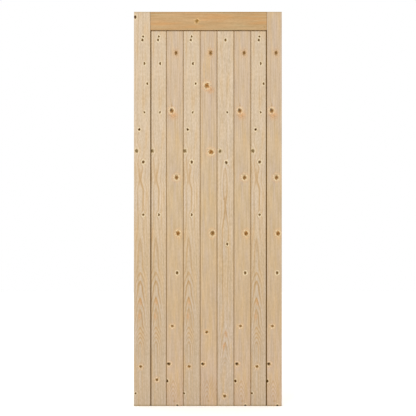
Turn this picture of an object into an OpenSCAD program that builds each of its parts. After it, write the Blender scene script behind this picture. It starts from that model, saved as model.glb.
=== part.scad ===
// Framed, ledged and braced door leaf of softwood, in millimetres.
// Two stiles and a top rail hold tongue-and-groove boarding, which runs down to the
// bottom edge in front of two ledges and two braces.
// Origin at the middle of the bottom edge, +Z up, front face towards -Y.

/* [Door leaf] */
// Width over both stiles
door_w = 762; // [640:1:1000]
// Height of the stiles
door_h = 2032; // [1800:1:2300]
// Thickness of the stiles and the top rail
door_t = 44; // [42:1:56]

/* [Frame] */
// Width of the left stile, seen from the front
left_stile_w = 85; // [72:1:120]
// Width of the right stile, seen from the front
right_stile_w = 77; // [72:1:120]
// Height of the top rail
top_rail_h = 95; // [80:1:140]
// Height of the middle ledge
middle_ledge_h = 195; // [170:1:240]
// Height of the bottom ledge
bottom_ledge_h = 195; // [170:1:240]
// Height of the middle ledge's lower edge above the floor
middle_ledge_z = 850; // [700:5:1000]
// Width of the braces
brace_w = 95; // [70:1:120]
// Bevel on the arrises of the frame, the ledges and the braces
arris = 1.5; // [0.5:0.1:3]

/* [Boarding] */
// Width that a full board covers
board_cover = 87; // [70:1:120]
// Thickness of the boards
board_t = 18; // [16:0.5:19]
// Set-back of the boards behind the face of the frame
board_set_back = 2; // [0:0.5:3]
// Bevel on the front edges of the boards, which makes their V joints
vee = 3; // [1:0.1:4]
// Gap at the bottom of the V joint between two boards
board_gap = 0.8; // [0.3:0.1:1.5]
// Movement gap between the boarding and the frame
movement_gap = 3; // [1:0.1:4]
// Thickness of the tongues
tongue_t = 6; // [4:0.1:8]
// Length of the tongues, which is also the depth of every groove
tongue_l = 8; // [6:0.1:12]
// Bevel on the tip of a tongue
tongue_tip = 1; // [0.4:0.1:1.6]
// Play on each cheek of a tongue
tongue_play = 0.15; // [0.05:0.05:0.5]

/* [Tenons] */
// Thickness of the tenons
tenon_t = 14; // [8:0.5:16]
// Height of each of a ledge's twin tenons
tenon_h = 55; // [40:1:60]
// Height from a ledge's edge to its nearer tenon
tenon_margin = 25; // [15:1:30]
// Height from the top rail's lower edge to its tenon
rail_shoulder = 10; // [5:1:20]
// Height from the top rail's tenon to the top of the door
rail_haunch = 30; // [20:1:40]
// Thickness of a wedge at the edge of the door
wedge_t = 6; // [3:0.5:8]
// Thickness of a wedge at its tip
wedge_tip = 1; // [0.5:0.1:2]
// Length of a wedge
wedge_l = 55; // [30:1:60]
// Glue line around tenons, wedges and brace ends
glue_line = 0.1; // [0.05:0.05:0.3]

/* [Screws] */
// Diameter of the shank
screw_d = 4; // [3:0.5:5]
// Length of a screw from the head to the point
screw_l = 36; // [30:1:38]
// Length of the point
screw_point = 4; // [2:0.5:6]
// Diameter of the countersunk head
screw_head_d = 8; // [6.5:0.5:10]
// Depth of the head below the back of the door
screw_sink = 0.3; // [0.1:0.1:1]
// Clearance around the screw in its hole
screw_play = 0.1; // [0.05:0.05:0.3]
// Length of the slots of the cross recess
recess_l = 4.4; // [3:0.2:5]
// Width of the slots of the cross recess
recess_w = 1; // [0.6:0.1:1.4]
// Depth of the cross recess
recess_depth = 1.5; // [1:0.1:1.8]
// Distance of a ledge's screws from the edges of each board
screw_edge = 20; // [12:1:30]
// Height of a ledge's screws above and below its middle
screw_stagger = 45; // [20:1:60]

/* [Hidden] */
$fn = 48;
// Overrun of a cutter past the face that it cuts
over = 1;

sapwood = "#d9c1a0";
heartwood = "#cda677";
back_pine = "#d6b88f";
wedge_pine = "#c9a678";
zinc = "#c3c0b4";

// Planes through the thickness, from front to back
front = -door_t / 2;
back = door_t / 2;
board_front = front + board_set_back;
board_back = board_front + board_t;
cheek = (board_t - tongue_t) / 2;
tongue_front = board_front + cheek;
ledge_t = back - board_back;

// Heights and the opening that the frame leaves for the boarding
rail_z = door_h - top_rail_h;
board_top = rail_z - movement_gap;
middle_ledge_top = middle_ledge_z + middle_ledge_h;
opening_left = left_stile_w - door_w / 2;
opening_right = door_w / 2 - right_stile_w;
opening_w = opening_right - opening_left;

// Full boards fill the middle, and two end boards are ripped to what is left,
// which comes to between half a board and a whole one
full_boards = floor(opening_w / board_cover) - 1;
board_count = full_boards + 2;
end_cover = (opening_w - full_boards * board_cover) / 2;

// Each tenon is [lower end, height]
rail_tenons = [[rail_z + rail_shoulder, top_rail_h - rail_shoulder - rail_haunch]];
middle_tenons = ledge_tenons(middle_ledge_z, middle_ledge_h);
bottom_tenons = ledge_tenons(0, bottom_ledge_h);

// A mortise flares until the wedge's taper would run out
flare_l = wedge_l * wedge_t / (wedge_t - wedge_tip);

// Each screw is [x, z]
middle_screws = ledge_screws(middle_ledge_z + middle_ledge_h / 2);
bottom_screws = ledge_screws(bottom_ledge_h / 2);
upper_screws = brace_screws(middle_ledge_top, rail_z);
lower_screws = brace_screws(bottom_ledge_h, middle_ledge_z);
all_screws = concat(middle_screws, bottom_screws, upper_screws, lower_screws);

function board_name(i) = str("board_", i + 1);

// Joint line at the left of board i, where i = board_count is the right end
function board_x(i) =
    i == 0 ? opening_left
    : i == board_count ? opening_right
    : opening_left + end_cover + (i - 1) * board_cover;

function ledge_tenons(z, h) =
    [for (low = [z + tenon_margin, z + h - tenon_margin - tenon_h]) [low, tenon_h]];

// Two screws a board, one above and one below the ledge's middle
function ledge_screws(mid) =
    [for (i = [0 : board_count - 1])
        each [[board_x(i) + screw_edge, mid + screw_stagger],
              [board_x(i + 1) - screw_edge, mid - screw_stagger]]];

// One screw a board, on the brace's centre line
function brace_screws(z_low, z_high) =
    [for (i = [0 : board_count - 1])
        let (x = (board_x(i) + board_x(i + 1)) / 2)
        [x, z_low + (x - opening_left) * (z_high - z_low) / opening_w]];

function reversed(list) = [for (i = [len(list) - 1 : -1 : 0]) list[i]];

// Edge of a board with a tongue, from front to back; way is 1 on the right and -1 on the left
function tongue_edge(x, way) = [
    [x - way * vee, board_front],
    [x, board_front + vee],
    [x, tongue_front],
    [x + way * (tongue_l - tongue_tip), tongue_front],
    [x + way * tongue_l, tongue_front + tongue_tip],
    [x + way * tongue_l, tongue_front + tongue_t - tongue_tip],
    [x + way * (tongue_l - tongue_tip), tongue_front + tongue_t],
    [x, tongue_front + tongue_t],
    [x, board_back]
];

// Left edge of a board with a groove, from front to back
function groove_edge(x) = [
    [x + vee, board_front],
    [x, board_front + vee],
    [x, tongue_front - tongue_play],
    [x + tongue_l, tongue_front - tongue_play],
    [x + tongue_l, tongue_front + tongue_t + tongue_play],
    [x, tongue_front + tongue_t + tongue_play],
    [x, board_back]
];

// Bar along X from x_left, with its section given as [y, z] points
module bar_along_x(x_left, length, section) {
    translate([x_left, 0, 0]) rotate([90, 0, 90]) linear_extrude(length) polygon(section);
}

// Plate between two depths, with its outline given as [x, z] points
module plate(y_front, thickness, outline) {
    translate([0, y_front + thickness, 0]) rotate([90, 0, 0]) linear_extrude(thickness) polygon(outline);
}

// Section of a ledge or brace as [y, z] points, with its back arrises bevelled
function backed_section(z_low, z_high, y_front = board_back) = [
    [y_front, z_low],
    [back - arris, z_low],
    [back, z_low + arris],
    [back, z_high - arris],
    [back - arris, z_high],
    [y_front, z_high]
];

// Cutter for the bevel on an upright front arris; way is 1 if the wood is at its left and -1 if at its right
module front_bevel(x, way, z_low, length) {
    translate([x, front, z_low - over]) linear_extrude(length + 2 * over)
        polygon([[-way * (arris + over), -over], [way * over, -over], [way * over, arris + over]]);
}

// Left stile in place: the right one is its mirror image
module stile(width) {
    inner = width - door_w / 2;
    difference() {
        translate([-door_w / 2, 0, 0]) linear_extrude(door_h)
            polygon([
                [arris, front], [width, front], [width, back],
                [arris, back], [0, back - arris], [0, front + arris]
            ]);
        front_bevel(inner, 1, 0, door_h);
        // Groove for the end board's tongue, which runs on into the top rail's groove
        translate([inner - tongue_l, tongue_front - tongue_play, -over])
            cube([tongue_l + over, tongue_t + 2 * tongue_play, rail_z + tongue_l + over]);
        for (tenon = concat(rail_tenons, middle_tenons, bottom_tenons)) mortise(inner, tenon);
    }
}

// Mortise through the left stile, flared towards the edge of the door for the wedges
module mortise(inner, tenon) {
    low = tenon[0] - glue_line;
    high = tenon[0] + tenon[1] + glue_line;
    edge = -door_w / 2;
    flare = wedge_t * (1 + over / flare_l);
    plate(board_back - glue_line, tenon_t + 2 * glue_line, [
        [inner + over, low], [inner + over, high],
        [edge + flare_l, high], [edge - over, high + flare],
        [edge - over, low - flare], [edge + flare_l, low]
    ]);
}

// Tenons at both ends of a rail or ledge, as bars that run through it
module tenon_bars(tenons) {
    for (tenon = tenons)
        translate([-door_w / 2, board_back, tenon[0]]) cube([door_w, tenon_t, tenon[1]]);
}

// A wedge above and below each tenon, on both edges of the door
module wedges(tenons) {
    taper = [[0, 0], [wedge_l, 0], [wedge_l, wedge_tip], [0, wedge_t]];
    color(wedge_pine)
        for (side = [0, 1], tenon = tenons) mirror([side, 0, 0]) translate([-door_w / 2, 0, 0]) {
            translate([0, 0, tenon[0] + tenon[1]]) plate(board_back, tenon_t, taper);
            translate([0, 0, tenon[0]]) mirror([0, 0, 1]) plate(board_back, tenon_t, taper);
        }
}

module left_stile() {
    color(sapwood) stile(left_stile_w);
}

module right_stile() {
    color(sapwood) mirror([1, 0, 0]) stile(right_stile_w);
}

module top_rail() {
    color(heartwood) difference() {
        union() {
            bar_along_x(opening_left, opening_w, [
                [front, rail_z + arris], [front + arris, rail_z],
                [tongue_front - tongue_play, rail_z],
                [tongue_front - tongue_play, rail_z + tongue_l],
                [tongue_front + tongue_t + tongue_play, rail_z + tongue_l],
                [tongue_front + tongue_t + tongue_play, rail_z],
                [back, rail_z], [back, door_h], [front, door_h]
            ]);
            tenon_bars(rail_tenons);
        }
        front_bevel(opening_left, -1, rail_z, top_rail_h);
        front_bevel(opening_right, 1, rail_z, top_rail_h);
    }
}

module ledge(z_low, height, tenons, screws) {
    color(back_pine) difference() {
        union() {
            bar_along_x(opening_left, opening_w, backed_section(z_low, z_low + height));
            tenon_bars(tenons);
        }
        screw_holes(screws);
    }
}

// Brace along the diagonal of the panel between two heights, cut to fit its corners
module brace(z_low, z_high, screws) {
    rise = z_high - z_low;
    bar_l = norm([opening_w, rise]) + 2 * brace_w;
    color(back_pine) difference() {
        intersection() {
            translate([opening_left + opening_w / 2, 0, z_low + rise / 2])
                rotate([0, -atan2(rise, opening_w), 0])
                bar_along_x(-bar_l / 2, bar_l, backed_section(-brace_w / 2, brace_w / 2, board_back - over));
            translate([opening_left + glue_line, board_back, z_low + glue_line])
                cube([opening_w - 2 * glue_line, ledge_t + over, rise - 2 * glue_line]);
        }
        screw_holes(screws);
    }
}

module board(i) {
    first = i == 0;
    last = i == board_count - 1;
    left = board_x(i) + (first ? movement_gap : board_gap / 2);
    right = board_x(i + 1) - (last ? movement_gap : board_gap / 2);
    left_edge = first ? tongue_edge(left, -1) : groove_edge(left);
    color(sapwood) difference() {
        linear_extrude(board_top + tongue_l) polygon(concat(tongue_edge(right, 1), reversed(left_edge)));
        // Cheeks cut from the top end leave a tongue for the top rail's groove
        for (y = [board_front - over, tongue_front + tongue_t])
            translate([left - tongue_l - over, y, board_top])
            cube([right - left + 2 * (tongue_l + over), cheek + over, tongue_l + over]);
        // V bevel under the top rail
        bar_along_x(left - over, right - left + 2 * over, [
            [board_front - over, board_top - vee - over],
            [board_front + vee, board_top],
            [board_front - over, board_top]
        ]);
        screw_holes([for (screw = all_screws) if (screw[0] > left && screw[0] < right) screw]);
    }
}

// Countersunk clearance holes from the back of the door
module screw_holes(screws) {
    hole_r = screw_d / 2 + screw_play;
    mouth_r = screw_head_d / 2 + screw_play + screw_sink;
    for (screw = screws) translate([screw[0], back + over, screw[1]]) rotate([90, 0, 0]) {
        cylinder(h = screw_sink + screw_l + 2 * over, r = hole_r);
        cylinder(h = mouth_r - hole_r + over, r1 = mouth_r + over, r2 = hole_r);
    }
}

// Countersunk wood screws with a cross recess, driven from the back
module wood_screws(screws) {
    shank_r = screw_d / 2;
    head_r = screw_head_d / 2;
    color(zinc)
        for (screw = screws) translate([screw[0], back - screw_sink, screw[1]]) rotate([90, 0, 0])
            difference() {
                rotate_extrude() polygon([
                    [0, 0], [head_r, 0], [shank_r, head_r - shank_r],
                    [shank_r, screw_l - screw_point], [0, screw_l]
                ]);
                for (turn = [0, 90]) rotate(turn)
                    translate([-recess_l / 2, -recess_w / 2, -over])
                    cube([recess_l, recess_w, recess_depth + over]);
            }
}

module middle_ledge() {
    ledge(middle_ledge_z, middle_ledge_h, middle_tenons, middle_screws);
}

module bottom_ledge() {
    ledge(0, bottom_ledge_h, bottom_tenons, bottom_screws);
}

module upper_brace() {
    brace(middle_ledge_top, rail_z, upper_screws);
}

module lower_brace() {
    brace(bottom_ledge_h, middle_ledge_z, lower_screws);
}

module top_rail_wedges() {
    wedges(rail_tenons);
}

module middle_ledge_wedges() {
    wedges(middle_tenons);
}

module bottom_ledge_wedges() {
    wedges(bottom_tenons);
}

module middle_ledge_screws() {
    wood_screws(middle_screws);
}

module bottom_ledge_screws() {
    wood_screws(bottom_screws);
}

module upper_brace_screws() {
    wood_screws(upper_screws);
}

module lower_brace_screws() {
    wood_screws(lower_screws);
}

left_stile();
right_stile();
top_rail();
middle_ledge();
bottom_ledge();
upper_brace();
lower_brace();
for (i = [0 : board_count - 1])
    board(i);
top_rail_wedges();
middle_ledge_wedges();
bottom_ledge_wedges();
middle_ledge_screws();
bottom_ledge_screws();
upper_brace_screws();
lower_brace_screws();
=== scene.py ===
"""Looks of a framed, ledged and braced door leaf of bare pine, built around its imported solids.

The row frame is in metres: +X to the right seen from the front, the boarded face towards -Y, +Z up,
with the origin at the middle of the bottom edge.
"""

from __future__ import annotations

import logging
import math
from dataclasses import dataclass, replace
from enum import Enum

import bpy
import numpy as np
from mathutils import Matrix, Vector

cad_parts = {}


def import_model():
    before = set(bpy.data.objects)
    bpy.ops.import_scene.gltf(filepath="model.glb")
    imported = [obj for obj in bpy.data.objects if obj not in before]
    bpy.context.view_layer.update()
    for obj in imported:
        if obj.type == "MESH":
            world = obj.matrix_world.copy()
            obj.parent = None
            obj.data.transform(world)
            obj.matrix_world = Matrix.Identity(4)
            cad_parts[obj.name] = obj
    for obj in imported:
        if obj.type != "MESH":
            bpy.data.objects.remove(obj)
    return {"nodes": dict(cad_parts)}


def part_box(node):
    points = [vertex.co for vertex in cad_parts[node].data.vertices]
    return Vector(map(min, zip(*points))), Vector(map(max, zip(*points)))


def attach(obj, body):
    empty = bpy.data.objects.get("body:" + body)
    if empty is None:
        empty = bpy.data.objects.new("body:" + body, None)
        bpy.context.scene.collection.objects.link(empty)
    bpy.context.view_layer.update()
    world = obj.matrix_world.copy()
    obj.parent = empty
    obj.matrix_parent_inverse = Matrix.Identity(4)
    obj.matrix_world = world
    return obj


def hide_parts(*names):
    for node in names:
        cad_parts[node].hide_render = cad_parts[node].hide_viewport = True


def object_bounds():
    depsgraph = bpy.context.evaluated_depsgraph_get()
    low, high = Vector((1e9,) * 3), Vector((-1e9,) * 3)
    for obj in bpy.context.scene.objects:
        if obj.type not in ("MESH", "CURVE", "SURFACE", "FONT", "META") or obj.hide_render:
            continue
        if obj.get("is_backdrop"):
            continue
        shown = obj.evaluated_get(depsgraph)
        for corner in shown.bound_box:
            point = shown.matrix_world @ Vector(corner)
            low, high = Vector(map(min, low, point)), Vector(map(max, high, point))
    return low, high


LOGGER = logging.getLogger("door_leaf")

MM = 0.001
BODY = "root"

# Leans of the grain, in degrees from upright
UPRIGHT = 0.0
ACROSS = 90.0

# Values between which nearly all of a noise texture lies, and their middle
NOISE_LOW = 0.3
NOISE_HIGH = 0.7
NOISE_MIDDLE = 0.5

# Sockets of a Mix node, which has one set for each kind of data
MIX_NUMBER_A = 2
MIX_NUMBER_B = 3
MIX_COLOUR_A = 6
MIX_COLOUR_B = 7
MIX_COLOUR_OUT = 2

# Curve from sRGB to linear light: a straight line up to the knee, and a power above it
SRGB_KNEE = 0.04045
SRGB_SLOPE = 12.92
SRGB_OFFSET = 0.055
SRGB_POWER = 2.4

Colour = tuple[float, float, float, float]
Triple = tuple[float, float, float]
Stops = tuple[tuple[float, Colour], ...]
KnotStops = tuple[tuple[float, str, float], ...]
Node = bpy.types.Node
Socket = bpy.types.NodeSocket
Value = float | Triple | Colour | Node | Socket
Sockets = dict[int | str, Value]

BLACK: Colour = (0.0, 0.0, 0.0, 1.0)
WHITE: Colour = (1.0, 1.0, 1.0, 1.0)


def linear(hex_value: str, alpha: float = 1.0) -> Colour:
    """Turn an sRGB hex value into a linear colour.

    Args:
        hex_value: Colour as "#rrggbb".
        alpha: Fourth value of the result.

    Returns:
        Red, green, blue and alpha, each from 0 to 1.
    """
    srgb = np.array([int(hex_value[i : i + 2], 16) for i in (1, 3, 5)]) / 255
    power = ((srgb + SRGB_OFFSET) / (1 + SRGB_OFFSET)) ** SRGB_POWER
    rgb = np.where(srgb <= SRGB_KNEE, srgb / SRGB_SLOPE, power)
    return (*map(float, rgb), alpha)


def add_node(
    tree: bpy.types.NodeTree, kind: str, sockets: Sockets, stops: Stops = (), **settings: object
) -> Node:
    """Add a node, set it up and link it.

    Args:
        tree: Node tree that gets the node.
        kind: Node type, without its "ShaderNode" prefix.
        sockets: Inputs by index or name: a value, a socket, or a node for its first output.
        stops: Places and colours of a colour ramp's stops.
        **settings: The node's own properties.

    Returns:
        The new node.
    """
    node = tree.nodes.new(f"ShaderNode{kind}")
    for name, value in settings.items():
        setattr(node, name, value)
    for key, value in sockets.items():
        if isinstance(value, Node):
            value = value.outputs[0]
        if isinstance(value, Socket):
            tree.links.new(value, node.inputs[key])
        else:
            node.inputs[key].default_value = value
    if stops:
        elements = node.color_ramp.elements
        while len(elements) < len(stops):
            elements.new(1.0)
        for element, (place, colour) in zip(elements, stops):
            element.position = place
            element.color = colour
    return node


class KnotKind(Enum):
    """Kinds of branch stubs, and of the checks and resin flares that come with them."""

    PIN = "pin"
    DEAD = "dead"
    GREY = "grey"
    BROWN = "brown"
    RUST = "rust"
    STAINED = "stained"
    SOUND = "sound"
    GHOST = "ghost"
    CHECK = "check"
    FLARE = "flare"


@dataclass(frozen=True)
class KnotLook:
    """Colours of one kind of knot, from its heart outwards.

    Attributes:
        stops: Distance in the knot's own radii, hex colour and cover of each stop.
        spread: Distance over which it pushes the growth rings aside, in its own radii.
    """

    stops: KnotStops
    spread: float = 2.2

    @property
    def reach(self) -> float:
        """Distance of the last stop, in the knot's own radii."""
        return self.stops[-1][0]

    def ramp(self) -> Stops:
        """Return the stops of a colour ramp over the knot's reach."""
        return tuple((at / self.reach, linear(colour, cover)) for at, colour, cover in self.stops)


# Live branches are brown with a dark heart, and redder where they hold more resin
LIVE_HEART: KnotStops = (
    (0.0, "#6f4f25", 1.0),
    (0.45, "#78562b", 1.0),
    (0.8, "#8b6739", 1.0),
    (1.15, "#a17e4f", 0.75),
)
RUSTY_HEART: KnotStops = (
    (0.0, "#7b5222", 1.0),
    (0.45, "#845a29", 1.0),
    (0.8, "#976c37", 1.0),
    (1.15, "#a9814e", 0.75),
)
# Round a live branch lies a pale ring and then resin-stained wood, or the stain alone
PALE_RING: KnotStops = (
    (1.45, "#dcbf90", 0.5),
    (1.8, "#e4cfa6", 0.4),
    (2.3, "#d6a677", 0.28),
    (3.4, "#d6a677", 0.0),
)
RESIN_STAIN: KnotStops = (
    (1.45, "#b8946a", 0.55),
    (1.9, "#c6a078", 0.35),
    (2.6, "#c6a078", 0.2),
    (3.6, "#c6a078", 0.0),
)

KNOT_LOOKS: dict[KnotKind, KnotLook] = {
    # Twigs leave small brown dots, and the wood that closed round them is pale
    KnotKind.PIN: KnotLook(
        (
            (0.0, "#5e4523", 1.0),
            (0.8, "#664c28", 1.0),
            (1.15, "#8d6d40", 0.7),
            (1.45, "#eadbb6", 0.6),
            (2.4, "#eadbb6", 0.0),
        )
    ),
    # Dead branches are nearly black
    KnotKind.DEAD: KnotLook(
        (
            (0.0, "#412600", 1.0),
            (0.75, "#472b04", 1.0),
            (1.1, "#7d5c2c", 0.8),
            (1.4, "#e8d6ae", 0.5),
            (2.3, "#e8d6ae", 0.0),
        )
    ),
    # Weathered stubs are dull
    KnotKind.GREY: KnotLook(
        (
            (0.0, "#75603c", 1.0),
            (0.7, "#7a6541", 1.0),
            (1.1, "#9c835a", 0.7),
            (1.4, "#dcc8a2", 0.4),
            (2.4, "#dcc8a2", 0.0),
        )
    ),
    KnotKind.BROWN: KnotLook(LIVE_HEART + PALE_RING),
    KnotKind.RUST: KnotLook(RUSTY_HEART + PALE_RING),
    KnotKind.STAINED: KnotLook(LIVE_HEART + RESIN_STAIN),
    # A small live branch in yellow wood has a soft edge
    KnotKind.SOUND: KnotLook(
        (
            (0.0, "#7c5925", 1.0),
            (0.6, "#86632e", 1.0),
            (1.1, "#a8844e", 0.7),
            (1.5, "#c8a371", 0.5),
            (2.6, "#c8a371", 0.0),
        )
    ),
    # A branch just under the face only tints it
    KnotKind.GHOST: KnotLook(
        (
            (0.0, "#9c7a4b", 0.7),
            (0.9, "#a98759", 0.5),
            (2.5, "#b8966a", 0.0),
        ),
        spread=0.0,
    ),
    # Drying opens dark checks in a branch
    KnotKind.CHECK: KnotLook(
        (
            (0.0, "#35230c", 0.95),
            (0.6, "#402b11", 0.85),
            (1.3, "#5a4020", 0.0),
        ),
        spread=0.0,
    ),
    # Resin colours the grain in the tip of an arch or below a large branch
    KnotKind.FLARE: KnotLook(
        (
            (0.0, "#c2884c", 0.55),
            (0.6, "#c68f56", 0.36),
            (1.5, "#c68f56", 0.0),
        ),
        spread=0.0,
    ),
}


@dataclass(frozen=True)
class Knot:
    """A branch stub, check or flare in a timber, in millimetres.

    Attributes:
        across: Distance from the middle of the face.
        along: Distance along the grain from the timber's end.
        half_width: Half its size across the grain.
        half_length: Half its size along the grain.
        kind: What it looks like.
    """

    across: float
    along: float
    half_width: float
    half_length: float
    kind: KnotKind = KnotKind.PIN


@dataclass(frozen=True)
class Log:
    """How a timber was cut from its tree, in millimetres.

    Attributes:
        ring: Width of a growth ring.
        pith_across: Distance of the pith from the middle of the face.
        pith_depth: Depth of the pith behind the face, at the timber's end.
        climbs: Stretches of grain as (from, to, how much deeper the pith runs).
        fades: Stretches over which the rings change as (from, to, strength before, strength after).
        edge_share: Share of the rings' strength that is left far aside from the pith.
    """

    ring: float
    pith_across: float
    pith_depth: float
    climbs: tuple[Triple, ...] = ()
    fades: tuple[tuple[float, float, float, float], ...] = ()
    edge_share: float = 1.0


@dataclass(frozen=True)
class Joint:
    """A joint beside a timber, whose faces below the planed face are painted darker as shade.

    Attributes:
        place: Distance in millimetres: across from the middle of the face, or along the grain.
        tint: Colour of the shade painted on the joint's faces.
        at_end: True for a joint at an end of the timber, whose place is along the grain.
    """

    place: float
    tint: str
    at_end: bool = False


@dataclass(frozen=True)
class Grain:
    """How the wood lies in one timber of the door.

    Attributes:
        start: Point in metres where the middle of its face meets its end.
        lean: Angle in degrees from upright to the grain, turning towards +X.
        length: Length of the grain in millimetres.
        log: How it was cut.
        knots: Its knots.
        joints: Its joints, whose painted shade shows on the face.
        seed: Picks the wood's own streaks.
    """

    start: Triple
    lean: float
    length: float
    log: Log
    knots: tuple[Knot, ...] = ()
    joints: tuple[Joint, ...] = ()
    seed: float = 0.0

    @property
    def axis(self) -> Triple:
        """Direction of the grain in the row frame."""
        angle = math.radians(self.lean)
        return (math.sin(angle), 0.0, math.cos(angle))


@dataclass(frozen=True)
class PineFinish:
    """Planed, bare pine: a matt face of pale earlywood with darker latewood lines and knots.

    Attributes:
        tones: Earlywood colours along the grain, each after its place as a share of the length.
        latewood: Colour of the dense edge of a growth ring.
        warm: Colour of long patches with more resin.
        cool: Colour of long patches with less.
        contrast: Cover of the latewood lines, from 0 to 1.
        fibres: Strength of the fibres, from 0 to 1.
        canals: Share of short resin canals in the fibres, from 0 to 1.
        roughness: Roughness of the planed face.
        specular: Specular level, low because bare wood scatters nearly all light.
    """

    tones: tuple[tuple[float, str], ...]
    latewood: str
    warm: str
    cool: str
    contrast: float
    fibres: float = 1.0
    canals: float = 0.3
    roughness: float = 0.65
    specular: float = 0.15

    def material(self, name: str, grain: Grain) -> bpy.types.Material:
        """Build the pine of one timber.

        Args:
            name: Name of the timber.
            grain: How the wood lies in it.

        Returns:
            A material whose growth rings, fibres and knots run through the solid wood.
        """
        material = bpy.data.materials.new(f"planed_pine_{name}")
        material.use_nodes = True
        PineShader(material.node_tree, self, grain).build()
        return material


@dataclass(frozen=True)
class Streak:
    """Noise drawn out along the grain.

    Attributes:
        across: Size of its features across the grain, in millimetres.
        along: Size of its features along the grain, in millimetres.
        detail: Number of finer layers.
    """

    across: float
    along: float
    detail: float = 1.0


class Blend(Enum):
    """How a layer is combined with the wood below it."""

    COVER = "MIX"
    TINT = "MULTIPLY"


@dataclass(frozen=True)
class Layer:
    """A colour that is laid over the wood.

    Attributes:
        share: How much of it shows, from 0 to 1.
        colour: The colour.
        blend: How it is combined with the wood below it.
    """

    share: Value
    colour: Value
    blend: Blend = Blend.TINT


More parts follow.
